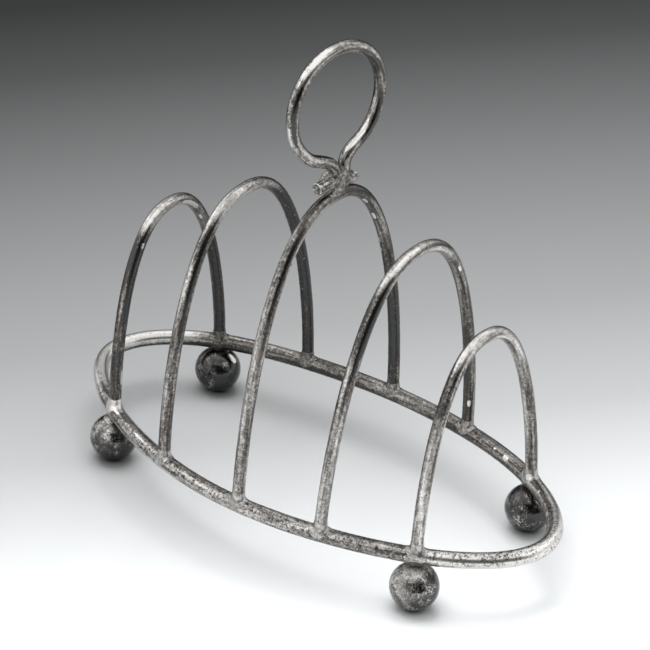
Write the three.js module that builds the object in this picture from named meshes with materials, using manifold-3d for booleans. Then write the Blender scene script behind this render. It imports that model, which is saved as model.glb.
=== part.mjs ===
// A five-arch wire toast rack on four ball feet, with a ring handle.
// Millimetres. +X runs along the rack, +Y across it and +Z up. The origin is on the table, under the
// middle of the oval base. Every arch foot is coped onto the base wire and soldered with a fillet, each
// ball is soldered under the base wire, and the handle is soldered to the crown of the middle arch.
import * as THREE from "three";
import { mergeVertices } from "three/addons/utils/BufferGeometryUtils.js";
import Module from "manifold-3d";

const wasm = await Module();
wasm.setup();

// Driving dimensions.
const BASE_WIRE = 4.4; // diameter of the wire of the oval base
const ARCH_WIRE = 3.4; // diameter of the arch wires
const HANDLE_WIRE = 3.4; // diameter of the handle wire
const BASE_HEIGHT = 15.3; // height of the base wire's centre line
const BASE_HALF_LENGTH = 72.7; // from the middle of the base to the centre of the wire, along X
const BASE_HALF_WIDTH = 34.8; // the same, along Y
const BASE_ROUNDNESS = 1.9; // 2 is an ellipse; a little less makes the ends more pointed
const BASE_SHIFT = new THREE.Vector2(0.1, 0.9); // puts the hand-bent oval's box over the origin
const BASE_TURN = -0.4; // degrees that the oval is turned on its feet
// Hand bending leaves the oval slightly uneven: waves of offset around it, as [turns, millimetres].
const BASE_WAVES = [
  [2, -0.7],
  [3, 0.9],
  [4, -0.4],
];

// Each arch: the places of its two feet and its crown along X, its crown's height, and how far the
// crown stands back from the middle of the feet.
const ARCHES = [
  { front: -51.7, back: -53.0, crown: -52.4, height: 69.0, setback: -0.3, shoulder: 1.9 },
  { front: -25.8, back: -27.2, crown: -26.2, height: 83.1, setback: -0.2, shoulder: 1.77 },
  { front: 1.6, back: 0.3, crown: 2.0, height: 90.7, setback: 0.3, shoulder: 1.79 },
  { front: 25.7, back: 26.7, crown: 27.9, height: 84.0, setback: 1.1, shoulder: 1.64 },
  { front: 50.0, back: 53.2, crown: 50.8, height: 68.9, setback: -0.1, shoulder: 1.57 },
];
const ARCH_SPREAD = 2.35; // over 2 the legs stay upright for longer before they bend in

const BALL_DIAMETER = 13;
const BALL_FLAT = 3; // diameter of the worn flat under each ball
// Each ball: its place along X, the side of the base it is under, and how far outside the wire it sits.
const BALLS = {
  ball_foot_front_left: { x: -52.5, side: -1, outwards: 0 },
  ball_foot_back_left: { x: -53.2, side: 1, outwards: 0 },
  ball_foot_front_right: { x: 50.2, side: -1, outwards: 0.4 },
  ball_foot_back_right: { x: 52.9, side: 1, outwards: 0.5 },
};

// The handle, in its own upright plane: s runs towards the back and z up, and lift is the distance
// out of the plane, towards +X.
const HANDLE_X = 2.0;
const HANDLE_TURN = 9; // degrees that the plane is turned from the arch's plane
const LOOP_RADIUS = 15.3;
const LOOP_S = 0.25;
const LOOP_Z = 116.6;
const LOOP_START = -105; // degrees round the loop where the front strand joins it
const LOOP_END = -65; // where the back strand leaves it
const FRONT_STRAND = [
  { s: -5.9, z: 95.0, lift: 0.45 },
  { s: -4.4, z: 95.0, lift: 0.45 },
  { s: -3.0, z: 95.15, lift: 0.45 },
  { s: -1.0, z: 95.6, lift: 0.45 },
  { s: 0.1, z: 96.6, lift: 0.45 },
  { s: 0.3, z: 98.0, lift: 0.45 },
  { s: -0.5, z: 99.6, lift: 0.4 },
  { s: -1.9, z: 100.9, lift: 0.3 },
];
const BACK_STRAND = [
  { s: 5.6, z: 101.7, lift: -0.3 },
  { s: 4.6, z: 100.1, lift: -0.4 },
  { s: 4.3, z: 98.4, lift: -0.45 },
  { s: 4.3, z: 96.8, lift: -0.45 },
  { s: 4.8, z: 95.4, lift: -0.45 },
  { s: 5.7, z: 94.4, lift: -0.45 },
  { s: 6.9, z: 94.1, lift: -0.45 },
  { s: 7.9, z: 94.8, lift: -0.45 },
];

const GAP = 0.15; // clearance between soldered pieces
const WIRE_SIDES = 16;
const BASE_STEPS = 96;
const ARCH_STEPS = 32;
const HANDLE_STEPS = 110;

// Solder. A fillet is a concave skirt around an arch foot, which also hugs the sides of the base wire.
const FILLET_RADIUS = 2.75;
const FILLET_RISE = 2.3; // how far it climbs the arch wire above the base wire
const FILLET_DROP = 1.3; // how far it runs down the sides of the base wire
const FILLET_LIP = 0.35; // its thickness at the top
const COLLAR_RADIUS = 2.6; // the collar between a ball and the base wire
const COLLAR_WAIST = 0.3; // how much narrower the collar is halfway up
const COLLAR_DROP = 1.2; // how far it runs down the ball
const COLLAR_RISE = 1.3; // how far it climbs the base wire
const NECK_SOLDER_SIZE = new THREE.Vector3(2.1, 3.0, 2.6); // half-axes of the lump at the handle's neck
const NECK_SOLDER_PLACE = new THREE.Vector3(2.4, 2.0, 94.1);

const plated = () => new THREE.MeshStandardMaterial({ color: 0x8f8b86, roughness: 0.42, metalness: 1 });
const darkPlated = () => new THREE.MeshStandardMaterial({ color: 0x4c4945, roughness: 0.35, metalness: 1 });
const solder = () => new THREE.MeshStandardMaterial({ color: 0xa3a19c, roughness: 0.55, metalness: 1 });

const radians = THREE.MathUtils.degToRad;
// A power that keeps its sign, for rounded curves.
const bend = (value, power) => Math.sign(value) * Math.abs(value) ** power;

class BaseCurve extends THREE.Curve {
  getPoint(turn, target = new THREE.Vector3()) {
    const angle = turn * 2 * Math.PI;
    const along = Math.cos(angle);
    const across = Math.sin(angle);
    const normal = new THREE.Vector2(along / BASE_HALF_LENGTH, across / BASE_HALF_WIDTH).normalize();
    const place = new THREE.Vector2(
      BASE_HALF_LENGTH * bend(along, 2 / BASE_ROUNDNESS),
      BASE_HALF_WIDTH * bend(across, 2 / BASE_ROUNDNESS),
    );
    for (const [turns, offset] of BASE_WAVES) {
      place.addScaledVector(normal, offset * Math.sin(turns * angle));
    }
    place.rotateAround(new THREE.Vector2(), radians(BASE_TURN)).add(BASE_SHIFT);
    return target.set(place.x, place.y, BASE_HEIGHT);
  }
}
const baseCurve = new BaseCurve();

// The point of the base's centre line at x, on its front (side -1) or its back (side 1).
function onBase(x, side) {
  let near = side > 0 ? 0.01 : 0.99;
  let far = 0.5;
  for (let i = 0; i < 40; i++) {
    const middle = (near + far) / 2;
    if (baseCurve.getPoint(middle).x > x) near = middle;
    else far = middle;
  }
  return baseCurve.getPoint(near);
}

class ArchCurve extends THREE.Curve {
  constructor(arch) {
    super();
    this.arch = arch;
    this.front = onBase(arch.front, -1);
    this.back = onBase(arch.back, 1);
  }
  getPoint(part, target = new THREE.Vector3()) {
    const angle = part * Math.PI;
    const across = (1 - bend(Math.cos(angle), 2 / ARCH_SPREAD)) / 2;
    const rise = Math.sin(angle) ** (2 / this.arch.shoulder);
    target.lerpVectors(this.front, this.back, across);
    target.x += rise * (this.arch.crown - (this.front.x + this.back.x) / 2);
    target.y += rise * this.arch.setback;
    target.z += rise * (this.arch.height - BASE_HEIGHT);
    return target;
  }
}

function handleCurve() {
  const points = [...FRONT_STRAND];
  const sweep = LOOP_END - LOOP_START - 360;
  const stations = 16;
  for (let i = 0; i <= stations; i++) {
    const angle = radians(LOOP_START + (sweep * i) / stations);
    points.push({
      s: LOOP_S + LOOP_RADIUS * Math.cos(angle),
      z: LOOP_Z + LOOP_RADIUS * Math.sin(angle),
      lift: 0.2 * (1 - (2 * i) / stations),
    });
  }
  points.push(...BACK_STRAND);
  const towardsBack = new THREE.Vector3(Math.sin(radians(HANDLE_TURN)), Math.cos(radians(HANDLE_TURN)), 0);
  const outOfPlane = new THREE.Vector3(towardsBack.y, -towardsBack.x, 0);
  return new THREE.CatmullRomCurve3(
    points.map(({ s, z, lift }) =>
      new THREE.Vector3(HANDLE_X, 0, z).addScaledVector(towardsBack, s).addScaledVector(outOfPlane, lift),
    ),
    false,
    "centripetal",
  );
}

// A closed round bar along an open curve.
function bar(curve, diameter, steps) {
  const circle = new THREE.EllipseCurve(0, 0, diameter / 2, diameter / 2);
  const section = new THREE.Shape(circle.getPoints(WIRE_SIDES).slice(0, -1));
  return new THREE.ExtrudeGeometry(section, { steps, extrudePath: curve });
}

// A closed round ring along the base's centre line.
function baseRing(diameter) {
  return new THREE.TubeGeometry(baseCurve, BASE_STEPS, diameter / 2, WIRE_SIDES, true);
}

function solidOf(geometry) {
  const bare = geometry.clone().deleteAttribute("normal").deleteAttribute("uv");
  const merged = mergeVertices(bare, 1e-3);
  return new wasm.Manifold(
    new wasm.Mesh({
      numProp: 3,
      vertProperties: merged.attributes.position.array,
      triVerts: new Uint32Array(merged.index.array),
    }),
  );
}

function geometryOf(solid) {
  const mesh = solid.getMesh();
  const geometry = new THREE.BufferGeometry();
  geometry.setAttribute("position", new THREE.BufferAttribute(mesh.vertProperties, mesh.numProp));
  geometry.setIndex(new THREE.BufferAttribute(mesh.triVerts, 1));
  geometry.computeVertexNormals();
  return geometry;
}

// A solid of revolution about an upright axis through place. The profile is [radius, height] pairs.
function turned(profile, place, segments) {
  const outline = profile.map(([radius, height]) => new THREE.Vector2(radius, height));
  const geometry = new THREE.LatheGeometry(outline, segments).rotateX(Math.PI / 2);
  return solidOf(geometry.translate(place.x, place.y, place.z));
}

const root = new THREE.Group();
function add(group, name, geometry, material) {
  const mesh = new THREE.Mesh(geometry, material);
  mesh.name = name;
  group.add(mesh);
}

const base = new THREE.Group();
root.add(base);
add(base, "base_ring", baseRing(BASE_WIRE), plated());
const baseClearance = solidOf(baseRing(BASE_WIRE + 2 * GAP));

function footFillet(foot, archClearance) {
  const neck = ARCH_WIRE / 2 + FILLET_LIP;
  const rows = 3;
  const profile = [[0, -FILLET_DROP]];
  for (let i = 0; i <= rows; i++) {
    const angle = ((i / rows) * Math.PI) / 2;
    profile.push([
      FILLET_RADIUS - (FILLET_RADIUS - neck) * Math.sin(angle),
      FILLET_RISE - (FILLET_RISE + FILLET_DROP) * Math.cos(angle),
    ]);
  }
  profile.push([0, FILLET_RISE]);
  const top = foot.clone().setZ(BASE_HEIGHT + BASE_WIRE / 2);
  return turned(profile, top, 12).subtract(archClearance).subtract(baseClearance);
}

const arches = new THREE.Group();
root.add(arches);
const archClearances = ARCHES.map((arch, index) => {
  const name = `arch_${index + 1}`;
  const curve = new ArchCurve(arch);
  const wire = solidOf(bar(curve, ARCH_WIRE, ARCH_STEPS));
  add(arches, name, geometryOf(wire.subtract(baseClearance)), plated());
  const clearance = solidOf(bar(curve, ARCH_WIRE + 2 * GAP, ARCH_STEPS));
  for (const side of ["front", "back"]) {
    add(arches, `${name}_${side}_solder`, geometryOf(footFillet(curve[side], clearance)), solder());
  }
  return clearance;
});

// The feet. A ball's centre is a little lower than its radius, which leaves the flat that it stands on.
const BALL_RADIUS = BALL_DIAMETER / 2;
const BALL_HEIGHT = Math.sqrt(BALL_RADIUS ** 2 - (BALL_FLAT / 2) ** 2);

// The profile of a ball about its own centre, cut off flat at the table.
function ballProfile(radius) {
  const rows = 9;
  const start = -Math.asin(BALL_HEIGHT / radius);
  const profile = [[0, -BALL_HEIGHT]];
  for (let i = 0; i < rows; i++) {
    const angle = start + ((Math.PI / 2 - start) * i) / rows;
    profile.push([radius * Math.cos(angle), radius * Math.sin(angle)]);
  }
  profile.push([0, radius]);
  return profile;
}

function collar(centre) {
  const low = BALL_HEIGHT + BALL_RADIUS - COLLAR_DROP;
  const high = BASE_HEIGHT - BASE_WIRE / 2 + COLLAR_RISE;
  const profile = [
    [0, low],
    [COLLAR_RADIUS, low],
    [COLLAR_RADIUS - COLLAR_WAIST, (low + high) / 2],
    [COLLAR_RADIUS, high],
    [0, high],
  ];
  const ballClearance = turned(ballProfile(BALL_RADIUS + GAP), centre, 18);
  return turned(profile, centre.clone().setZ(0), 12).subtract(ballClearance).subtract(baseClearance);
}

const feet = new THREE.Group();
root.add(feet);
for (const [name, { x, side, outwards }] of Object.entries(BALLS)) {
  const centre = onBase(x, side).setZ(BALL_HEIGHT);
  centre.y += side * outwards;
  const ball = turned(ballProfile(BALL_RADIUS), centre, 18).subtract(baseClearance);
  add(feet, name, geometryOf(ball), darkPlated());
  add(feet, `${name}_solder`, geometryOf(collar(centre)), solder());
}

const handle = new THREE.Group();
root.add(handle);
const crown = archClearances[2];
const handlePath = handleCurve();
const handleWire = solidOf(bar(handlePath, HANDLE_WIRE, HANDLE_STEPS));
add(handle, "handle_loop", geometryOf(handleWire.subtract(crown)), plated());

// The lump of solder between the crown of the middle arch and the two strands of the neck.
const lump = new THREE.SphereGeometry(1, 12, 9).scale(...NECK_SOLDER_SIZE).translate(...NECK_SOLDER_PLACE);
const handleClearance = solidOf(bar(handlePath, HANDLE_WIRE + 2 * GAP, HANDLE_STEPS));
const neckSolder = solidOf(lump).subtract(crown).subtract(handleClearance);
add(handle, "handle_neck_solder", geometryOf(neckSolder), solder());

export default root;
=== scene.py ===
"""Looks for the wire toast rack: an oval base on four ball feet, five arches and a ring handle.

The wires, balls and solder are rebuilt here as fine meshes on the CAD part's own curves, and take
procedural materials of worn, tarnished silver plate, with painted shade, painted highlights and painted dark
reflections laid into their wear. The floor carries a painted pool of light. Lengths are millimetres until a
mesh or a light is made. X runs along the rack, Y from its front to its back, and Z up.
"""
import math

import bpy
import numpy as np
from mathutils import Matrix, Vector


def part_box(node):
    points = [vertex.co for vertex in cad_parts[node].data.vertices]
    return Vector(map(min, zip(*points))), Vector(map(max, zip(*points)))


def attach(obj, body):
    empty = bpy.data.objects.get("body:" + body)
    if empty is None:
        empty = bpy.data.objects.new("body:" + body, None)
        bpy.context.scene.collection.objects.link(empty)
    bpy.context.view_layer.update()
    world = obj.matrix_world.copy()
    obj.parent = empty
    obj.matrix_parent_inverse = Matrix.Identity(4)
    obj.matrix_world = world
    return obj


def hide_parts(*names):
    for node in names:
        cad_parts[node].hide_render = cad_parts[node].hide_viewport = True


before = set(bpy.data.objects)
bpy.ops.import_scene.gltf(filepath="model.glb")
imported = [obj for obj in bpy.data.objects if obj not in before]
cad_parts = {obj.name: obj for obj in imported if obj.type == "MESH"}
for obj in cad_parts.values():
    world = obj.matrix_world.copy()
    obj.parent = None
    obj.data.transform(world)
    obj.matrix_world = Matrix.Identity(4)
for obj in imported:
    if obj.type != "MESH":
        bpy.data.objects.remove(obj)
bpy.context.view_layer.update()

MM = 0.001
FULL_TURN = 2 * math.pi
UP = np.array([0, 0, 1.0])

# Driving dimensions, the same as the CAD part's.
BASE_WIRE, ARCH_WIRE, HANDLE_WIRE = 4.4, 3.4, 3.4
BASE_HEIGHT = 15.3
BASE_HALF_LENGTH, BASE_HALF_WIDTH = 72.7, 34.8
BASE_ROUNDNESS = 1.9
BASE_SHIFT = (0.1, 0.9)
BASE_TURN = math.radians(-0.4)
BASE_WAVES = ((2, -0.7), (3, 0.9), (4, -0.4))
ARCH_SPREAD = 2.35
ARCHES = (
    dict(front=-51.7, back=-53.0, crown=-52.4, height=69.0, setback=-0.3, shoulder=1.9),
    dict(front=-25.8, back=-27.2, crown=-26.2, height=83.1, setback=-0.2, shoulder=1.77),
    dict(front=1.6, back=0.3, crown=2.0, height=90.7, setback=0.3, shoulder=1.79),
    dict(front=25.7, back=26.7, crown=27.9, height=84.0, setback=1.1, shoulder=1.64),
    dict(front=50.0, back=53.2, crown=50.8, height=68.9, setback=-0.1, shoulder=1.57),
)
BALL_RADIUS, BALL_FLAT_RADIUS = 6.5, 1.5
BALL_PLACES = ("front_left", "back_left", "front_right", "back_right")
HANDLE_X, HANDLE_TURN = 2.0, math.radians(9)
LOOP_RADIUS, LOOP_S, LOOP_Z = 15.3, 0.25, 116.6
LOOP_START, LOOP_END = -105, -65
FRONT_STRAND = ((-5.9, 95.0, 0.45), (-4.4, 95.0, 0.45), (-3.0, 95.15, 0.45), (-1.0, 95.6, 0.45),
                (0.1, 96.6, 0.45), (0.3, 98.0, 0.45), (-0.5, 99.6, 0.4), (-1.9, 100.9, 0.3))
BACK_STRAND = ((5.6, 101.7, -0.3), (4.6, 100.1, -0.4), (4.3, 98.4, -0.45), (4.3, 96.8, -0.45),
               (4.8, 95.4, -0.45), (5.7, 94.4, -0.45), (6.9, 94.1, -0.45), (7.9, 94.8, -0.45))

# The fine meshes: the steps along the wires, the sides round them, and how far the surfaces are set in, so
# that their unevenness stays inside the CAD part's box.
CURVE_SAMPLES, FOOT_SAMPLES, ARCH_SAMPLES = 4000, 2000, 400
RING_STEP, ARCH_STEP, HANDLE_STEP = 0.7, 0.7, 0.5
RING_SIDES, WIRE_SIDES = 36, 28
WIRE_INSET, BALL_INSET = 0.06, 0.07
BALL_ROWS, BALL_COLUMNS = 72, 96

# The view. Angles are degrees, the lens and sensor millimetres.
CAMERA_TARGET = (-5.37, 9.69, 46.05)
CAMERA_AZIMUTH, CAMERA_ELEVATION, CAMERA_ROLL = 35.64, 30.53, 2.54
CAMERA_DISTANCE = 775.4
CAMERA_LENS, SENSOR_WIDTH = 163.3, 36


# ---------------------------------------------------------------- curves
def unit(vectors):
    return vectors / np.linalg.norm(vectors, axis=-1, keepdims=True)


def bend(value, power):
    return np.sign(value) * np.abs(value) ** power


def base_points(angle):
    """Points of the oval base's centre line at these angles, in radians."""
    along, across = np.cos(angle), np.sin(angle)
    normal = unit(np.stack([along / BASE_HALF_LENGTH, across / BASE_HALF_WIDTH], -1))
    power = 2 / BASE_ROUNDNESS
    place = np.stack([BASE_HALF_LENGTH * bend(along, power), BASE_HALF_WIDTH * bend(across, power)], -1)
    for turns, offset in BASE_WAVES:
        place += normal * (offset * np.sin(turns * angle))[..., None]
    cos, sin = math.cos(BASE_TURN), math.sin(BASE_TURN)
    x = place[..., 0] * cos - place[..., 1] * sin + BASE_SHIFT[0]
    y = place[..., 0] * sin + place[..., 1] * cos + BASE_SHIFT[1]
    return np.stack([x, y, np.full_like(x, BASE_HEIGHT)], -1)


def on_base(x, side):
    """The base's point at x, on its front (side -1) or its back (side 1)."""
    tip = 0.01
    angle = side * np.linspace(tip, math.pi - tip, FOOT_SAMPLES)
    points = base_points(angle)
    return points[np.argmin(np.abs(points[:, 0] - x))]


def arch_points(arch):
    """An arch's centre line from its front foot, over its crown, to its back foot."""
    front, back = on_base(arch["front"], -1), on_base(arch["back"], 1)
    angle = np.linspace(0, math.pi, ARCH_SAMPLES)
    across = (1 - bend(np.cos(angle), 2 / ARCH_SPREAD)) / 2
    rise = np.sin(angle).clip(0) ** (2 / arch["shoulder"])
    points = front + (back - front) * across[:, None]
    points[:, 0] += rise * (arch["crown"] - (front[0] + back[0]) / 2)
    points[:, 1] += rise * arch["setback"]
    points[:, 2] += rise * (arch["height"] - BASE_HEIGHT)
    return points


TOWARDS_BACK = np.array([math.sin(HANDLE_TURN), math.cos(HANDLE_TURN), 0])
OUT_OF_PLANE = np.array([TOWARDS_BACK[1], -TOWARDS_BACK[0], 0])


def in_handle_plane(s, z, lift):
    """A point of the handle: s towards the back in its plane, z up and lift out of the plane."""
    return np.array([HANDLE_X, 0, z]) + s * TOWARDS_BACK + lift * OUT_OF_PLANE


def spline(points, per_span=12):
    """A centripetal Catmull-Rom curve through the points."""
    points = np.array(points, float)
    ends = 2 * points[[0, -1]] - points[[1, -2]]
    points = np.vstack([ends[:1], points, ends[1:]])
    made = []
    for p0, p1, p2, p3 in zip(points, points[1:], points[2:], points[3:]):
        t = np.cumsum([0] + [np.linalg.norm(b - a) ** 0.5 for a, b in ((p0, p1), (p1, p2), (p2, p3))])
        u = np.linspace(t[1], t[2], per_span, endpoint=False)[:, None]
        a1 = ((t[1] - u) * p0 + (u - t[0]) * p1) / (t[1] - t[0])
        a2 = ((t[2] - u) * p1 + (u - t[1]) * p2) / (t[2] - t[1])
        a3 = ((t[3] - u) * p2 + (u - t[2]) * p3) / (t[3] - t[2])
        b1 = ((t[2] - u) * a1 + (u - t[0]) * a2) / (t[2] - t[0])
        b2 = ((t[3] - u) * a2 + (u - t[1]) * a3) / (t[3] - t[1])
        made.append(((t[2] - u) * b1 + (u - t[1]) * b2) / (t[2] - t[1]))
    return np.vstack(made + [points[-2:-1]])


def handle_points():
    """The handle's centre line: its front hook, round the loop, and its back hook."""
    stations, twist = 16, 0.2
    turns = np.radians(LOOP_START + (LOOP_END - LOOP_START - 360) * np.arange(stations + 1) / stations)
    loop = [(LOOP_S + LOOP_RADIUS * math.cos(turn), LOOP_Z + LOOP_RADIUS * math.sin(turn),
             twist * (1 - 2 * i / stations)) for i, turn in enumerate(turns)]
    return spline([in_handle_plane(*p) for p in (*FRONT_STRAND, *loop, *BACK_STRAND)])


def spaced(points, step, closed=False):
    """The same line with points a step apart, and each point's distance along it."""
    if closed:
        points = np.vstack([points, points[:1]])
    along = np.concatenate([[0], np.cumsum(np.linalg.norm(np.diff(points, axis=0), axis=1))])
    count = max(8, round(along[-1] / step))
    wanted = np.linspace(0, along[-1], count + 1)
    if closed:
        wanted = wanted[:-1]
    return np.stack([np.interp(wanted, along, points[:, k]) for k in range(3)], -1), wanted


# ---------------------------------------------------------------- meshes
def waves(coordinates, seed, longest, count=7):
    """Smooth noise from -1 to 1: a sum of seeded plane waves, the longest of this wavelength."""
    dice = np.random.default_rng(seed)
    total, weight = 0, 0
    for k in range(count):
        direction = unit(dice.normal(size=coordinates.shape[-1]))
        length = longest / (1 + 0.45 * k)
        size = 1 / (1 + 0.5 * k)
        phase = coordinates @ direction * (FULL_TURN / length) + dice.uniform(0, FULL_TURN)
        total = total + size * np.sin(phase)
        weight += size
    return total / weight


def make_piece(name, vertices, faces, attributes):
    """A smooth piece of the rack with these millimetre vertices and named vertex attributes."""
    mesh = bpy.data.meshes.new(name)
    mesh.from_pydata((np.asarray(vertices) * MM).tolist(), [], faces)
    mesh.validate()
    for key, values in attributes.items():
        values = np.asarray(values, np.float32)
        kind = "FLOAT_VECTOR" if values.ndim == 2 else "FLOAT"
        field = "vector" if values.ndim == 2 else "value"
        mesh.attributes.new(key, kind, "POINT").data.foreach_set(field, values.ravel())
    mesh.shade_smooth()
    piece = bpy.data.objects.new(name, mesh)
    bpy.context.scene.collection.objects.link(piece)
    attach(piece, "root")
    return piece


def tangents(path, closed):
    if closed:
        return unit(np.roll(path, -1, 0) - np.roll(path, 1, 0))
    return unit(np.gradient(path, axis=0))


# A wire's ends: rings as a share of the radius and how far out they stand, from the outside in. The
# arches' ends are buried in solder, and the handle's are cut square with a burr.
BURIED_END = ((0.9, 0.1),)
CUT_END = ((0.97, 0.07), (0.9, 0.12), (0.8, 0.08), (0.45, 0.05))
RIM_WEAR, FACE_WEAR = (0.75, 0, 0), (0.34, 0.1, 0)


def cap_end(flat, faces, end_ring, first, middle, outwards, flipped, cut):
    """Closes the end of a wire. flat holds the vertices, wire places and wear, and end_ring the end's own.
    outwards points along the wire, out of the end, and middle is the end's place on the path."""
    vertices, wire, worn = end_ring
    sides = len(vertices)
    previous = first
    profile = CUT_END if cut else BURIED_END
    for scale, out in profile:
        start = len(flat[0])
        wear = np.broadcast_to(RIM_WEAR if scale > 0.85 else FACE_WEAR, (sides, 3)) if cut else worn
        flat[0] = np.vstack([flat[0], middle + (vertices - middle) * scale + out * outwards])
        flat[1] = np.vstack([flat[1], wire * (1, scale, scale)])
        flat[2] = np.vstack([flat[2], wear])
        for k in range(sides):
            m = (k + 1) % sides
            quad = (previous + k, previous + m, start + m, start + k)
            faces.append(quad[::-1] if flipped else quad)
        previous = start
    centre = len(flat[0])
    flat[0] = np.vstack([flat[0], middle + profile[-1][1] * outwards])
    flat[1] = np.vstack([flat[1], wire.mean(0)])
    flat[2] = np.vstack([flat[2], flat[2][-1:]])
    for k in range(sides):
        triangle = (previous + k, previous + (k + 1) % sides, centre)
        faces.append(triangle[::-1] if flipped else triangle)


def sweep(node, path, along, diameter, plane_normal, wear, seed, closed=False, sides=WIRE_SIDES, cut=False):
    """A slightly uneven round wire along a nearly flat path. plane_normal is square to the path's plane,
    and tangent x plane_normal points outwards. wear(outwards, normal, place) gives rub and flake. Three
    vertex attributes are for the materials: "wire" is the place on the unrolled wire, "wear" holds rub,
    flake and scratches, and "chip" how near a bare chip is."""
    tangent = tangents(path, closed)
    outwards = unit(np.cross(tangent, plane_normal))
    sideways = np.cross(tangent, outwards)
    turn = np.arange(sides) * FULL_TURN / sides
    shape = (len(path), sides)
    normal = outwards[:, None] * np.cos(turn)[None, :, None] + sideways[:, None] * np.sin(turn)[None, :, None]
    wire = np.stack([np.broadcast_to(along[:, None], shape),
                     np.broadcast_to(np.cos(turn) * diameter / 2, shape),
                     np.broadcast_to(np.sin(turn) * diameter / 2, shape)], -1)
    uneven = 0.045 * waves(wire * (1, 1.6, 1.6), seed, 22) + 0.02 * waves(wire, seed + 50, 5)
    if closed:  # the unevenness fades out where the loop's end meets its start
        uneven = uneven * np.sin(math.pi * along / (along[-1] + along[1]))[:, None] ** 0.2
    radius = diameter / 2 - WIRE_INSET + uneven
    vertices = path[:, None] + normal * radius[..., None]
    rub, flake = wear(np.broadcast_to(np.cos(turn), shape), normal, vertices)
    worn = np.stack([rub, flake, np.zeros_like(rub)], -1)
    angle = np.broadcast_to(np.arctan2(np.sin(turn), np.cos(turn)), shape)
    chip = wire_chips(node, (along - along[0])[:, None], angle, diameter).ravel()
    faces = []
    count = len(path)
    for i in range(count if closed else count - 1):
        j = (i + 1) % count
        for k in range(sides):
            m = (k + 1) % sides
            faces.append((i * sides + k, i * sides + m, j * sides + m, j * sides + k))
    flat = [vertices.reshape(-1, 3), wire.reshape(-1, 3), worn.reshape(-1, 3)]
    if not closed:
        for end, sign in ((0, -1), (count - 1, 1)):
            ring = (vertices[end], wire[end], worn[end])
            cap_end(flat, faces, ring, end * sides, path[end], sign * tangent[end], sign < 0, cut)
    chip = np.concatenate([chip, np.zeros(len(flat[0]) - len(chip))])
    attributes = {"wire": flat[1], "wear": flat[2], "chip": chip}
    return make_piece(node + "_look", flat[0], faces, attributes)


def polyline_distance(points, path):
    """Each point's distance to a line through path's points."""
    best = np.full(len(points), np.inf)  # squared until the end
    for a, b in zip(path[:-1], path[1:]):
        ab = b - a
        away = points - a
        t = (away @ ab / (ab @ ab)).clip(0, 1)
        away -= t[:, None] * ab
        best = np.minimum(best, np.einsum("ij,ij->i", away, away))
    return np.sqrt(best)


def near(path, centre, reach):
    """The stretch of an open path within reach of centre, at every third point."""
    kept = np.nonzero(np.linalg.norm(path - centre, axis=1) < reach)[0]
    return path[kept[0]:kept[-1] + 1:3]


def near_ring(path, centre, reach):
    """The same for a closed path."""
    nearest = np.argmin(np.linalg.norm(path - centre, axis=1))
    return near(np.roll(path, len(path) // 2 - nearest, 0), centre, reach)


def bar_field(path, diameter):
    """Signed distance to a round bar: below zero inside it. The other fields are alike."""
    return lambda points: polyline_distance(points, path) - diameter / 2


def ball_field(centre, radius):
    return lambda points: np.linalg.norm(points - centre, axis=1) - radius


def blended(fields, softness):
    """One field whose surface runs smoothly from one of these shapes to the next."""
    def field(points):
        total = sum(np.exp(-f(points) / softness) for f in fields)
        return -softness * np.log(total)
    return field


def surface_net(field, low, high, cell):
    """A closed quad mesh of the surface where field is zero, inside a box. Each cell that the surface
    crosses holds one vertex, at the mean of its edges' crossings, and each crossed edge makes a quad."""
    counts = np.ceil((high - low) / cell).astype(int) + 1
    axes = [low[k] + cell * np.arange(counts[k]) for k in range(3)]
    grid = np.stack(np.meshgrid(*axes, indexing="ij"), -1)
    value = field(grid.reshape(-1, 3)).reshape(counts)
    inside = value < 0
    corner = np.array([(i, j, k) for i in (0, 1) for j in (0, 1) for k in (0, 1)])
    shape = counts - 1
    total = sum(inside[i:i + shape[0], j:j + shape[1], k:k + shape[2]].astype(int) for i, j, k in corner)
    cells = np.argwhere((total > 0) & (total < 8))
    index = -np.ones(shape, int)
    index[tuple(cells.T)] = np.arange(len(cells))
    crossing_sum, crossings = np.zeros((len(cells), 3)), np.zeros(len(cells))
    for a in range(8):
        for b in range(a + 1, 8):
            if np.abs(corner[a] - corner[b]).sum() != 1:
                continue
            va = value[tuple((cells + corner[a]).T)]
            vb = value[tuple((cells + corner[b]).T)]
            cut = (va < 0) != (vb < 0)
            t = np.where(cut, va / np.where(cut, va - vb, 1), 0)
            crossing_sum += np.where(cut[:, None], corner[a] + t[:, None] * (corner[b] - corner[a]), 0)
            crossings += cut
    vertices = low + cell * (cells + crossing_sum / crossings[:, None])
    faces = []
    step = np.eye(3, dtype=int)
    for axis in range(3):
        u, v = (axis + 1) % 3, (axis + 2) % 3
        across = [slice(1, n - 1) for n in counts]
        across[axis] = slice(0, counts[axis] - 1)
        first = inside[tuple(across)]
        across[axis] = slice(1, counts[axis])
        second = inside[tuple(across)]
        for edge in np.argwhere(first != second):
            at = edge + step[u] + step[v]
            around = [at - step[u] - step[v], at - step[v], at, at - step[u]]
            quad = [int(index[tuple(c)]) for c in around]
            faces.append(quad if first[tuple(edge)] else quad[::-1])
    return vertices, faces


def settle(vertices, field, rounds=3):
    """Moves vertices onto the surface where field is zero, along its slope."""
    e, least_slope = 0.02, 0.05
    for _ in range(rounds):
        slopes = [(field(vertices + e * axis) - field(vertices - e * axis)) / (2 * e) for axis in np.eye(3)]
        slope = np.stack(slopes, -1)
        size = (slope ** 2).sum(1).clip(least_slope)
        vertices = vertices - (field(vertices) / size)[:, None] * slope
    return vertices


# Solder: how thick it lies, how high its lumps are, how sharply it ends, and its wear apart from rub.
SOLDER_SKIN, SOLDER_LUMP, SOLDER_END = 0.03, 0.05, 12
SOLDER_FLAKE = 0.15


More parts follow.
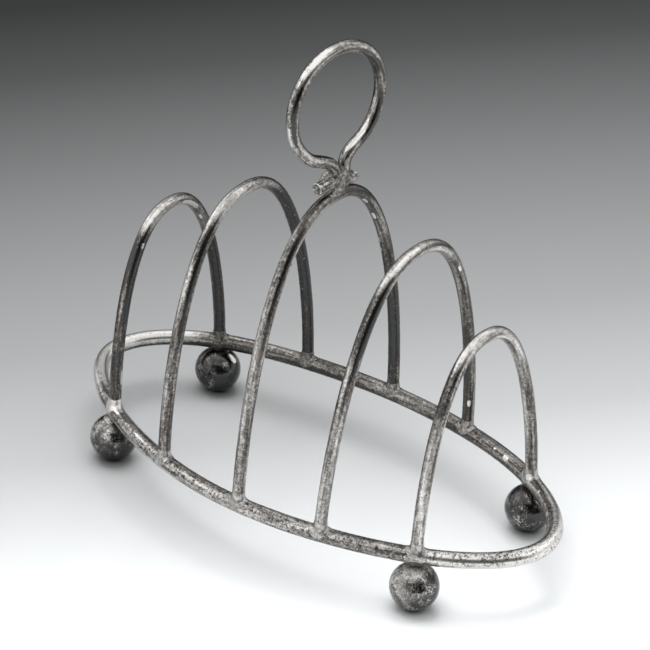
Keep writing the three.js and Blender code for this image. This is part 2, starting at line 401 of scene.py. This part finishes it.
def solder_joint(node, fields, centre, reach, softness, seed, rub, cell=0.22, stretch=(1, 1, 1), spot=None):
    """Solder that has run between the shapes of these fields: it wets them near centre and fades out.
    It may have one bare spot, 2 mm across."""
    together = blended(fields, softness)
    stretch = np.array(stretch, float)

    def field(points):
        away = np.linalg.norm((points - centre) / stretch, axis=1) / reach
        lumps = SOLDER_LUMP * waves(points, seed, 3.0, 5)
        return together(points) - SOLDER_SKIN - lumps + SOLDER_END * (away - 0.62).clip(0) ** 2

    margin = 1.6 * reach * stretch
    vertices, faces = surface_net(field, centre - margin, centre + margin, cell)
    vertices = settle(vertices, field)
    attributes = {"wire": vertices, "wear": np.broadcast_to((rub, SOLDER_FLAKE, 0), vertices.shape)}
    if spot is not None:
        attributes["chip"] = (1 - np.linalg.norm(vertices - spot, axis=1) / 2).clip(0)
    return make_piece(node + "_look", vertices, faces, attributes)


# ---------------------------------------------------------------- wear
# Rub runs from 0, black with tarnish, to about 0.8, bright metal; in places it also carries painted shade,
# painted highlights and painted dark reflections. Flake is how much the tarnish there comes off in flakes,
# from 0 to about 1.
def smooth(value, low, high):
    """A smooth step: 0 up to low, 1 from high on."""
    t = ((value - low) / (high - low)).clip(0, 1)
    return t * t * (3 - 2 * t)


def base_wear(outwards, normal, place):
    """The ends and the back left are nearly clean on top, and the back's lower side is the darkest. The
    front is flaky on top and smooth below; a painted highlight makes it bright along its inner edge, and
    painted shade darkens its top."""
    x, y, up = place[..., 0], place[..., 1], normal[..., 2]
    left_end = smooth(-x, 58, 68) * smooth(up, -0.6, 0.0)
    back_left = smooth(-x, 54, 62) * smooth(y, 5, 20) * smooth(up, -0.1, 0.35)
    right_end = smooth(x, 46, 58) * smooth(outwards, -0.3, 0.3)
    back = smooth(y, -8, 14)
    clean = np.maximum(np.maximum(left_end, back_left), 0.7 * right_end)
    below = (1 - back) * (1 - smooth(up, -0.3, 0.1))
    # Painted highlight along the front's inner edge, and painted shade on the front's top.
    painted_inner_highlight = (1 - back) * smooth(-outwards, 0.35, 0.75) * smooth(up, -0.1, 0.3)
    painted_top_shade = smooth(up, 0.5, 0.8) * smooth(outwards, -0.3, 0.0) * (1 - back)
    band = smooth(outwards, 0.6, 0.85) * smooth(x, -5, 15) * (1 - smooth(x, 54, 66)) * (1 - back)
    rub = 0.36 - 0.28 * back + 0.26 * back * smooth(up, -0.3, 0.6) - 0.1 * band
    rub = rub + 0.4 * clean + 0.14 * below + 0.34 * painted_inner_highlight - 0.1 * painted_top_shade * (1 - clean)
    flake = 0.8 - 0.5 * back * (1 - clean) + 0.5 * band + 0.3 * right_end
    return rub, flake * (1 - 0.6 * below) * (1 - 0.9 * back_left)


# How worn each arch is: its front leg and that leg's left side, front shoulder, crown, back shoulder and
# back leg, and how strong and how low down the black streak on the front shoulder's right side is; that
# streak is a painted dark reflection.
ARCH_WEAR_KEYS = ("front", "left", "shoulder", "crown", "back_shoulder", "back", "streak", "low")
ARCH_WEAR = tuple(dict(zip(ARCH_WEAR_KEYS, row)) for row in (
    (0.17, 0.0, -0.3, 0.4, 0.2, 0.03, 0.3, 0.62),
    (0.24, 0.22, -0.04, 0.3, 0.0, 0.02, 0.32, 0.6),
    (0.31, 0.22, -0.02, 0.02, 0.2, 0.07, 0.36, 0.74),
    (0.34, 0.0, -0.26, 0.16, 0.1, 0.19, 0.55, 0.7),
    (0.44, -0.14, -0.26, 0.08, 0.04, 0.32, 0.1, 0.8),
))
# Where round the wire the painted dark reflection lies, and how wide it is, in radians.
DARK_REFLECTION_ANGLE, DARK_REFLECTION_WIDTH = 0.86, 0.27


def arch_wear(worn, top):
    """The wear of an arch this high, with a black streak of painted dark reflection down its front shoulder.
    Angles go round the wire from the arch's outside.
    """
    def wear(outwards, normal, place):
        height = place[..., 2] / top
        crown = smooth(height, 0.9, 0.99)
        front = smooth(-place[..., 1], -12, 10)
        shoulder = smooth(height, 0.72, 0.82) * (1 - smooth(height, 0.9, 0.97))
        angle = np.arctan2(normal[..., 0], outwards)
        left = smooth(-angle, -0.5, 0.2) * smooth(height, 0.3, 0.5) * (1 - smooth(height, 0.78, 0.9)) * front
        # Painted dark reflection: a black streak on one side of the front shoulder.
        streak = np.exp(-((angle - DARK_REFLECTION_ANGLE) / DARK_REFLECTION_WIDTH) ** 2) * front
        streak = streak * smooth(height, worn["low"] - 0.06, worn["low"] + 0.06)
        streak = streak * (1 - smooth(height, 0.95, 0.985))
        rub = worn["front"] * front + worn["back"] * (1 - front) + worn["crown"] * crown
        rub = rub + worn["shoulder"] * shoulder * front + worn["back_shoulder"] * shoulder * (1 - front)
        rub = rub + worn["left"] * left - worn["streak"] * streak
        return rub, 0.1 + 0.16 * front * (1 - crown) + 0.35 * shoulder * front
    return wear


def handle_wear_and_painted_reflections(outwards, normal, place):
    """Painted dark reflections lie as black streaks on the loop's front side and low on its back side, beside
    bright stretches of rubbed metal with painted highlights. Angles go round the wire from the loop's
    outside, and round the loop from its back."""
    angle = np.arctan2(normal @ OUT_OF_PLANE, outwards)
    around = np.arctan2(place[..., 2] - LOOP_Z, (place - (HANDLE_X, 0, 0)) @ TOWARDS_BACK - LOOP_S)
    around = np.degrees(np.where(around < -math.pi / 2, around + 2 * math.pi, around))

    def painted_band(middle, width, start, end):
        along = smooth(around, start, start + 12) * (1 - smooth(around, end - 12, end))
        return np.exp(-((np.degrees(angle) - middle) / width) ** 2) * along

    rub = 0.3 + 0.06 * smooth(outwards, -0.2, 0.3)
    # Painted dark reflections take rub away, and painted highlights add it.
    rub = rub - 0.5 * painted_band(52, 16, 142, 208) - 0.6 * painted_band(112, 18, -62, 2) - 0.3 * painted_band(120, 20, 15, 70)
    rub = rub + 0.3 * painted_band(15, 30, 95, 150) + 0.2 * painted_band(0, 25, 180, 220) + 0.5 * painted_band(155, 22, -80, -30)
    return rub, 0.1 + 0.35 * smooth(outwards, 0.1, 0.6) * smooth(around, 90, 120)


# Chips rubbed to bare metal: distance along the wire, degrees round it from its outside, length and
# radius. An arch's wire is measured from its front foot, and the base's from the back foot of arch 1.
WIRE_CHIPS = {
    "base_ring": ((247, -138, 0.5, 0.85), (229, -134, 0, 0.45), (219, -150, 1, 0.45),
                  (252, -132, 0, 0.4), (66, -80, 5, 1.2)),
    "arch_1": ((71.5, 112, 7, 0.7), (80, 139, 1.5, 0.4), (48, 62, 1, 0.45), (10.5, 102, 3.5, 0.4)),
    "arch_3": ((106, 145, 2.5, 0.45), (115, 165, 2, 0.5), (126, -161, 1, 0.45), (130, -158, 1, 0.35)),
    "arch_4": ((154, 144, 1, 0.55), (105, 105, 1.5, 0.4)),
}
# And on the balls: from one direction out of the ball's centre to another, and a radius.
BALL_CHIPS = {"ball_foot_back_left": (((0.7, 0.1, 1), (1, 0.2, 0.8), 0.8),)}


def wire_chips(node, along, angle, diameter):
    """How near each place on a wire is to a chip: 1 at a chip's middle, 0 from twice its radius on."""
    closeness = np.zeros_like(angle)
    for middle, facing, length, radius in WIRE_CHIPS.get(node, ()):
        lengthwise = (np.abs(along - middle) - length / 2).clip(0)
        turned = (angle - math.radians(facing) + math.pi) % FULL_TURN - math.pi
        away = np.hypot(lengthwise, turned * diameter / 2)
        closeness = np.maximum(closeness, 1 - away / (2 * radius))
    return closeness


def ball_chips(node, around):
    """The same for directions out of a ball's centre."""
    closeness = np.zeros(len(around))
    for start, end, radius in BALL_CHIPS.get(node, ()):
        line = unit(np.linspace(start, end, 8)) * BALL_RADIUS
        closeness = np.maximum(closeness, 1 - polyline_distance(around * BALL_RADIUS, line) / (2 * radius))
    return closeness


# ---------------------------------------------------------------- the object
BALL_RUBS = (0.22, 0.1, 0.3, 0.16)
BALL_FLAKE = 0.15


def make_ball(node, centre, seed, rub):
    """A solid ball with a small flat to stand on, a little dented, and darkened with painted shade towards
    the rack's right.
    """
    tilt = np.linspace(0, math.pi, BALL_ROWS + 1)[1:-1, None]
    turn = np.arange(BALL_COLUMNS) * FULL_TURN / BALL_COLUMNS
    rings = len(tilt)
    around = np.stack([np.sin(tilt) * np.cos(turn), np.sin(tilt) * np.sin(turn),
                       np.broadcast_to(np.cos(tilt), (rings, BALL_COLUMNS))], -1).reshape(-1, 3)
    top, bottom = len(around), len(around) + 1
    around = np.vstack([around, UP, -UP])
    dents = 0.05 * waves(around * BALL_RADIUS, seed, 9) + 0.02 * waves(around * BALL_RADIUS, seed + 9, 2.5)
    vertices = centre + around * (BALL_RADIUS - BALL_INSET + dents)[:, None]
    vertices[:, 2] = vertices[:, 2].clip(0)
    faces = []
    for i in range(rings - 1):
        for k in range(BALL_COLUMNS):
            m = (k + 1) % BALL_COLUMNS
            above, below = i * BALL_COLUMNS, (i + 1) * BALL_COLUMNS
            faces.append((above + k, below + k, below + m, above + m))
    last = (rings - 1) * BALL_COLUMNS
    for k in range(BALL_COLUMNS):
        m = (k + 1) % BALL_COLUMNS
        faces.append((top, k, m))
        faces.append((bottom, last + m, last + k))
    # Painted shade darkens the side towards the rack's right; the top is a little lighter.
    rub = rub + 0.05 * around[:, 2] - 0.2 * smooth(around[:, 0], 0.2, 0.9)
    worn = np.stack([rub, np.full_like(rub, BALL_FLAKE), np.ones_like(rub)], -1)
    pattern = around * BALL_RADIUS + (seed * 37.0, 0, 0)  # so that no two balls are marked alike
    attributes = {"wire": pattern, "wear": worn, "chip": ball_chips(node, around)}
    return make_piece(node + "_look", vertices, faces, attributes)


def node_centre(node):
    low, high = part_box(node)
    return np.array((low + high) / 2) / MM


def build_base():
    """The ring's piece and its path, which starts at the back foot of arch 1."""
    angle = np.linspace(0, FULL_TURN, CURVE_SAMPLES, endpoint=False)
    path, along = spaced(base_points(angle), RING_STEP, True)
    start = np.argmin(np.linalg.norm(path - on_base(ARCHES[0]["back"], 1), axis=1))
    path = np.roll(path, -start, 0)
    piece = sweep("base_ring", path, along, BASE_WIRE, UP, base_wear, 3, closed=True, sides=RING_SIDES)
    return piece, path


def build_arches(pieces):
    """Adds the arches to pieces, and gives their paths."""
    paths = []
    lengthwise = np.array([-1.0, 0, 0])
    for number, arch in enumerate(ARCHES, 1):
        path, along = spaced(arch_points(arch), ARCH_STEP)
        paths.append(path)
        node = f"arch_{number}"
        wear = arch_wear(ARCH_WEAR[number - 1], arch["height"])
        along = along + 300 * number  # so that no two arches are marked alike
        pieces[node] = sweep(node, path, along, ARCH_WIRE, lengthwise, wear, 10 * number)
    return paths


def build_handle():
    path, along = spaced(handle_points(), HANDLE_STEP)
    piece = sweep("handle_loop", path, along + 2000, HANDLE_WIRE, -OUT_OF_PLANE, handle_wear_and_painted_reflections, 77, cut=True)
    return piece, path


def solder_arches(pieces, base_path, arch_paths):
    """Adds the solder round each arch's two feet, brighter in front."""
    nearby, reach, softness, above = 9, 4.0, 0.36, (0, 0, 1.7)
    bright, bare_spot = "arch_1_front_solder", {"arch_5_back_solder": (0.5, -1.5, 2)}
    for number, (arch, path) in enumerate(zip(ARCHES, arch_paths), 1):
        for side, place in ((-1, "front"), (1, "back")):
            foot = on_base(arch[place], side)
            leg = near(path, foot, nearby)
            bars = [bar_field(near_ring(base_path, foot, nearby), BASE_WIRE), bar_field(leg, ARCH_WIRE)]
            node = f"arch_{number}_{place}_solder"
            rub = 0.46 if place == "front" else 0.2 + 0.05 * number
            if node == bright:
                rub = 0.85
            spot = foot + bare_spot[node] if node in bare_spot else None
            seed = 100 + 2 * number + side
            pieces[node] = solder_joint(node, bars, foot + above, reach, softness, seed, rub, spot=spot)


def build_feet(pieces, base_path):
    """Adds each ball foot and the collar of solder that fixes it under the ring."""
    nearby, reach, softness = 9, 4.2, 0.3
    for number, place in enumerate(BALL_PLACES):
        node = f"ball_foot_{place}"
        middle = node_centre(node)
        middle[2] = math.sqrt(BALL_RADIUS ** 2 - BALL_FLAT_RADIUS ** 2)
        pieces[node] = make_ball(node, middle, 200 + number, BALL_RUBS[number])
        top = middle + (0, 0, BALL_RADIUS)
        shapes = [bar_field(near_ring(base_path, top, nearby), BASE_WIRE),
                  ball_field(middle, BALL_RADIUS - BALL_INSET)]
        collar = node + "_solder"
        rub = 0.42 if middle[1] < 0 else 0.16
        pieces[collar] = solder_joint(collar, shapes, top, reach, softness, 300 + number, rub)


def neck_solder(arch_path, handle_path):
    """Lumpy solder that fills between the handle's two hooks and the crown of the middle arch."""
    centre = np.array([2.3, 1.0, 94.8])
    crown = near(arch_path, centre, 12)
    hook_points = 70
    hooks = (handle_path[:hook_points:2], handle_path[-hook_points::2])
    strands = [bar_field(hook[np.linalg.norm(hook - centre, axis=1) < 11], HANDLE_WIRE) for hook in hooks]
    lumps = [ball_field(np.array(place), radius) for place, radius in (
        ((2.4, 1.6, 93.6), 2.1), ((2.6, 2.3, 96.0), 1.7), ((2.6, 2.4, 98.2), 1.2), ((2.4, 4.6, 93.4), 1.3),
        ((0.4, -0.2, 96.9), 1.0), ((0.2, -1.3, 96.6), 0.95), ((0.0, -2.4, 95.7), 0.9))]
    shapes = [bar_field(crown, ARCH_WIRE), *strands, *lumps]
    return solder_joint("handle_neck_solder", shapes, centre, 6.4, 0.35, 401, 0.3, cell=0.25,
                        stretch=(0.7, 1, 0.85))


def build_rack():
    """All the pieces, by the CAD node that each one replaces."""
    pieces = {}
    pieces["base_ring"], base_path = build_base()
    arch_paths = build_arches(pieces)
    pieces["handle_loop"], handle_path = build_handle()
    solder_arches(pieces, base_path, arch_paths)
    build_feet(pieces, base_path)
    pieces["handle_neck_solder"] = neck_solder(arch_paths[2], handle_path)
    for node, piece in pieces.items():
        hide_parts(node)
    return pieces


# ---------------------------------------------------------------- materials
def add(tree, kind, inputs=None, **settings):
    """A node with these settings; an input takes a value or another node's output."""
    node = tree.nodes.new(kind)
    for key, value in settings.items():
        setattr(node, key, value)
    for key, value in (inputs or {}).items():
        if isinstance(value, bpy.types.NodeSocket):
            tree.links.new(value, node.inputs[key])
        else:
            node.inputs[key].default_value = value
    return node


def maths(tree, operation, a, b):
    """A math node's output; a and b are values or outputs."""
    return add(tree, "ShaderNodeMath", {0: a, 1: b}, operation=operation).outputs[0]


def ramp(tree, value, stops):
    """A colour ramp through (position, colour) stops."""
    node = add(tree, "ShaderNodeValToRGB", {"Fac": value})
    elements = node.color_ramp.elements
    while len(elements) > 1:
        elements.remove(elements[-1])
    for number, (position, colour) in enumerate(stops):
        element = elements[0] if number == 0 else elements.new(position)
        element.position = position
        element.color = (*colour, 1) if isinstance(colour, tuple) else (colour, colour, colour, 1)
    return node.outputs["Color"]


def noise(tree, vector, scale, detail, roughness, distortion=0.0):
    """Noise about 0.5; scale is in cells per millimetre of vector."""
    return add(tree, "ShaderNodeTexNoise", {"Vector": vector, "Scale": scale, "Detail": detail,
               "Roughness": roughness, "Distortion": distortion}).outputs["Fac"]


def varied(tree, fields):
    """The sum of these noises, each about zero and times its own amount."""
    total = None
    for field, amount in fields:
        part = maths(tree, "MULTIPLY", maths(tree, "SUBTRACT", field, 0.5), amount)
        total = part if total is None else maths(tree, "ADD", total, part)
    return total


def spread(tree, value, low, high, start=0.0, end=1.0):
    """The value's way from low to high, held within start and end."""
    return add(tree, "ShaderNodeMapRange", {"Value": value, "From Min": low, "From Max": high,
               "To Min": start, "To Max": end}).outputs["Result"]


BRIGHT, GREY, DULL = (0.70, 0.685, 0.66), (0.41, 0.398, 0.38), (0.22, 0.21, 0.198)
BROWN, BLACK, CHARCOAL = (0.11, 0.097, 0.085), (0.05, 0.049, 0.048), (0.068, 0.069, 0.07)
SLATE = (0.1, 0.097, 0.094)


def tarnish_shades(thin):
    """Colours from bare silver, through thin tarnish of this shade, to the thickest tarnish."""
    return (0.36, BRIGHT), (0.45, GREY), (0.53, DULL), (0.59, thin), (0.66, BLACK), (0.74, CHARCOAL)


# Each finish: how far its streaks are drawn out along the wire, how strong its streaks, mottling and grain
# are, its colours and roughness from bare to most tarnished, and how deep its pits are.
FINISHES = {
    "worn_plated_wire": dict(
        stretch=(0.07, 1, 1), amounts=(0.7, 0.42, 0.28), colours=tarnish_shades(BROWN), pits=0.4,
        roughness=((0.36, 0.28), (0.5, 0.36), (0.6, 0.3), (0.7, 0.26))),
    "worn_plated_ball": dict(
        stretch=(0.35, 0.35, 0.35), amounts=(0.4, 0.25, 0.25), colours=tarnish_shades(SLATE), pits=0.3,
        roughness=((0.34, 0.3), (0.5, 0.32), (0.6, 0.2), (0.7, 0.16))),
    "worn_plated_handle": dict(
        stretch=(0.07, 1, 1), amounts=(0.7, 0.4, 0.25), colours=tarnish_shades(BROWN), pits=0.4,
        roughness=((0.36, 0.22), (0.5, 0.28), (0.6, 0.24), (0.7, 0.2))),
    "old_solder": dict(
        stretch=(1, 1, 1), amounts=(0.25, 0.4, 0.3), colours=tarnish_shades(BROWN), pits=0.5,
        roughness=((0.34, 0.34), (0.6, 0.4))),
}
EVEN_RUB, EVEN_TARNISH, RUB_EFFECT = 0.4, 0.5, -0.5
BARE_EFFECT, CHIP_EFFECT = 0.24, 0.4
PIT_DEPTH = 0.1 * MM


def tarnished_silver(name, stretch, amounts, colours, roughness, pits):
    """Worn silver plate: clean where rubbed, grey and near-black where the tarnish is left. The pieces'
    "wear" attribute holds how rubbed a place is, how flaky and how scratched, and "chip" its chips."""
    material = bpy.data.materials.new(name)
    material.use_nodes = True
    tree = material.node_tree
    tree.nodes.clear()
    place = add(tree, "ShaderNodeAttribute", attribute_name="wire").outputs["Vector"]
    worn = add(tree, "ShaderNodeAttribute", attribute_name="wear").outputs["Vector"]
    worn = add(tree, "ShaderNodeSeparateXYZ", {"Vector": worn}).outputs
    rub, flake, scratched = worn["X"], worn["Y"], worn["Z"]

    # Tarnish: uneven in three sizes, and less of it where the piece is rubbed.
    drawn = add(tree, "ShaderNodeVectorMath", {0: place, 1: stretch}, operation="MULTIPLY").outputs[0]
    streak = noise(tree, drawn, 0.8, 4, 0.6, 0.2)
    mottle = noise(tree, place, 1.0, 5, 0.7, 0.4)
    grain = noise(tree, place, 2.6, 3, 0.7)
    # Rub carries painted shade, painted highlights and painted dark reflections as well as wear.
    relief = maths(tree, "MULTIPLY", maths(tree, "SUBTRACT", rub, EVEN_RUB), RUB_EFFECT)
    tarnish = maths(tree, "ADD", varied(tree, zip((streak, mottle, grain), amounts)),
                    maths(tree, "ADD", relief, EVEN_TARNISH))

    # Dark flakes of tarnish left on bare metal.
    flakes = spread(tree, noise(tree, place, 1.3, 5, 0.72, 0.8), 0.5, 0.6, -0.07, 0.17)
    tarnish = maths(tree, "ADD", tarnish, maths(tree, "MULTIPLY", flakes, flake))

    # Bare metal: fine scratches in patches, small specks, and chips.
    ridge = maths(tree, "ABSOLUTE", maths(tree, "SUBTRACT", noise(tree, place, 0.9, 4, 0.6, 0.5), 0.5), 0)
    scratch = maths(tree, "MULTIPLY", spread(tree, ridge, 0.028, 0.01),
                    spread(tree, noise(tree, place, 0.3, 2, 0.5), 0.46, 0.56))
    speck = spread(tree, noise(tree, place, 1.6, 3, 0.6, 0.6), 0.68, 0.71)
    bare = maths(tree, "MAXIMUM", speck, maths(tree, "MULTIPLY", scratch, scratched))
    tarnish = maths(tree, "SUBTRACT", tarnish, maths(tree, "MULTIPLY", bare, BARE_EFFECT))
    chip = add(tree, "ShaderNodeAttribute", attribute_name="chip").outputs["Fac"]
    chip = maths(tree, "ADD", chip, varied(tree, ((mottle, 0.5), (grain, 0.5))))
    tarnish = maths(tree, "SUBTRACT", tarnish, spread(tree, chip, 0.46, 0.56, 0.0, CHIP_EFFECT))

    height = maths(tree, "ADD", maths(tree, "MULTIPLY", mottle, 0.6), maths(tree, "MULTIPLY", grain, 0.4))
    bump = add(tree, "ShaderNodeBump", {"Height": height, "Strength": pits, "Distance": PIT_DEPTH})
    shader = add(tree, "ShaderNodeBsdfPrincipled", {
        "Base Color": ramp(tree, tarnish, colours), "Roughness": ramp(tree, tarnish, roughness),
        "Metallic": 1.0, "Normal": bump.outputs["Normal"]})
    output = add(tree, "ShaderNodeOutputMaterial", {"Surface": shader.outputs["BSDF"]})
    output.is_active_output = True
    return material


def finish_name(node):
    """The finish of the piece that replaces this node."""
    if node.endswith("solder"):
        return "old_solder"
    if node.startswith("ball"):
        return "worn_plated_ball"
    return "worn_plated_handle" if node.startswith("handle") else "worn_plated_wire"


def give_materials(pieces):
    materials = {name: tarnished_silver(name, **finish) for name, finish in FINISHES.items()}
    for node, piece in pieces.items():
        piece.data.materials.append(materials[finish_name(node)])


# ---------------------------------------------------------------- stage, light and camera
def view_axes():
    """The camera's directions to its right, up and backwards."""
    azimuth, elevation = math.radians(CAMERA_AZIMUTH), math.radians(CAMERA_ELEVATION)
    back = Vector((math.sin(azimuth) * math.cos(elevation), -math.cos(azimuth) * math.cos(elevation),
                   math.sin(elevation)))
    right = (-back).cross(Vector((0, 0, 1))).normalized()
    up = back.cross(right)
    cos, sin = math.cos(math.radians(CAMERA_ROLL)), math.sin(math.radians(CAMERA_ROLL))
    return cos * right + sin * up, -sin * right + cos * up, back


def make_camera():
    right, up, back = view_axes()
    data = bpy.data.cameras.new("camera")
    data.lens = CAMERA_LENS
    data.sensor_width = SENSOR_WIDTH
    camera = bpy.data.objects.new("camera", data)
    bpy.context.scene.collection.objects.link(camera)
    turned = Matrix((right, up, back)).transposed().to_4x4()
    camera.matrix_world = Matrix.Translation((Vector(CAMERA_TARGET) + back * CAMERA_DISTANCE) * MM) @ turned
    data.clip_start, data.clip_end = 0.01, 50  # metres
    bpy.context.scene.camera = camera


def stage_point(sideways, depth, height):
    """A place on the stage: millimetres right of the target, behind it as the camera looks, and up."""
    azimuth = math.radians(CAMERA_AZIMUTH)
    behind = Vector((-math.sin(azimuth), math.cos(azimuth), 0))
    right = Vector((math.cos(azimuth), math.sin(azimuth), 0))
    at = Vector((CAMERA_TARGET[0], CAMERA_TARGET[1], 0)) + right * sideways + behind * depth
    return Vector((at.x, at.y, height)) * MM


def softbox(name, place, aim, size, radiance, diffuse=True, glossy=True):
    """A rectangular light of this size in millimetres and this brightness, turned towards aim. It may be
    left out of soft light (diffuse) or of reflections (glossy)."""
    data = bpy.data.lights.new(name, "AREA")
    data.shape = "RECTANGLE"
    data.size, data.size_y = size[0] * MM, size[1] * MM
    data.energy = 4 * radiance * data.size * data.size_y
    light = bpy.data.objects.new(name, data)
    bpy.context.scene.collection.objects.link(light)
    start, end = stage_point(*place), stage_point(*aim)
    away = (start - end).normalized()
    level = Vector((0, 0, 1)).cross(away)
    if level.length < 0.01:
        level = stage_point(1, 0, 0) - stage_point(0, 0, 0)
    level.normalize()
    turn = Matrix((level, away.cross(level), away)).transposed().to_4x4()
    light.matrix_world = Matrix.Translation(start) @ turn
    light.visible_camera = False
    light.visible_diffuse = diffuse
    light.visible_glossy = glossy


# The floor is a sheet with a painted pool of light, graded by painted shade from white to dark grey: its
# shade at each distance, in millimetres, behind the camera's target. It darkens along a line turned by this
# angle from the view.
FLOOR_PAINTED_SHADES = ((-105, 0.95), (-70, 0.905), (-40, 0.695), (-10, 0.54), (20, 0.4), (75, 0.272), (135, 0.193),
                (195, 0.122), (255, 0.06), (310, 0.031))
FLOOR_TINT = (0.985, 1.005, 1.015)
FLOOR_START, FLOOR_END = -150, 350
FLOOR_TURN = 17
FLOOR_HALF_SIZE = 6.0  # metres


def make_floor():
    """A sheet with a painted pool of light: white under and in front of the object, and darker further back
    with painted shade.
    """
    half = FLOOR_HALF_SIZE
    mesh = bpy.data.meshes.new("floor")
    mesh.from_pydata([(-half, -half, 0), (half, -half, 0), (half, half, 0), (-half, half, 0)], [],
                     [(0, 1, 2, 3)])
    floor = bpy.data.objects.new("floor", mesh)
    bpy.context.scene.collection.objects.link(floor)
    floor.location = stage_point(0, 0, 0)
    floor.rotation_euler = (0, 0, math.radians(CAMERA_AZIMUTH + FLOOR_TURN))
    material = bpy.data.materials.new("pale_floor_painted_shade")
    material.use_nodes = True
    tree = material.node_tree
    shader = tree.nodes["Principled BSDF"]
    shader.inputs["Roughness"].default_value = 0.8
    shader.inputs["Specular IOR Level"].default_value = 0.0
    place = add(tree, "ShaderNodeTexCoord").outputs["Object"]
    depth = add(tree, "ShaderNodeSeparateXYZ", {"Vector": place}).outputs["Y"]
    share = spread(tree, depth, FLOOR_START * MM, FLOOR_END * MM)
    length = FLOOR_END - FLOOR_START
    # The ramp paints the pool of light and the shade beyond it.
    stops = [((distance - FLOOR_START) / length, tuple(shade * tint for tint in FLOOR_TINT))
             for distance, shade in FLOOR_PAINTED_SHADES]
    tree.links.new(ramp(tree, share, stops), shader.inputs["Base Color"])
    mesh.materials.append(material)


WORLD_COLOUR = (0.06, 0.06, 0.062, 1)


def make_lights():
    """A broad soft light above with a smaller, stronger one in it, and panels that the metal reflects."""
    world = bpy.data.worlds.new("dark_studio")
    world.use_nodes = True
    background = world.node_tree.nodes["Background"]
    background.inputs["Color"].default_value = WORLD_COLOUR
    background.inputs["Strength"].default_value = 1.0
    bpy.context.scene.world = world
    softbox("overhead", (0, 30, 560), (0, 30, 0), (1500, 1100), 1.0)
    softbox("key", (-60, 130, 500), (0, 20, 0), (480, 380), 3.9, glossy=False)
    softbox("back_panel", (-150, 760, 470), (0, 0, 60), (1000, 330), 0.45, diffuse=False)
    softbox("left_panel", (-430, -30, 240), (0, -30, 240), (1000, 480), 0.85, diffuse=False)
    softbox("front_left_panel", (-300, -520, 180), (0, 0, 180), (420, 360), 0.6, diffuse=False)
    softbox("right_panel", (450, 120, 240), (0, 120, 240), (900, 480), 0.75, diffuse=False)
    bpy.context.scene.view_settings.view_transform = "Standard"


pieces = build_rack()
give_materials(pieces)
make_floor()
make_lights()
make_camera()
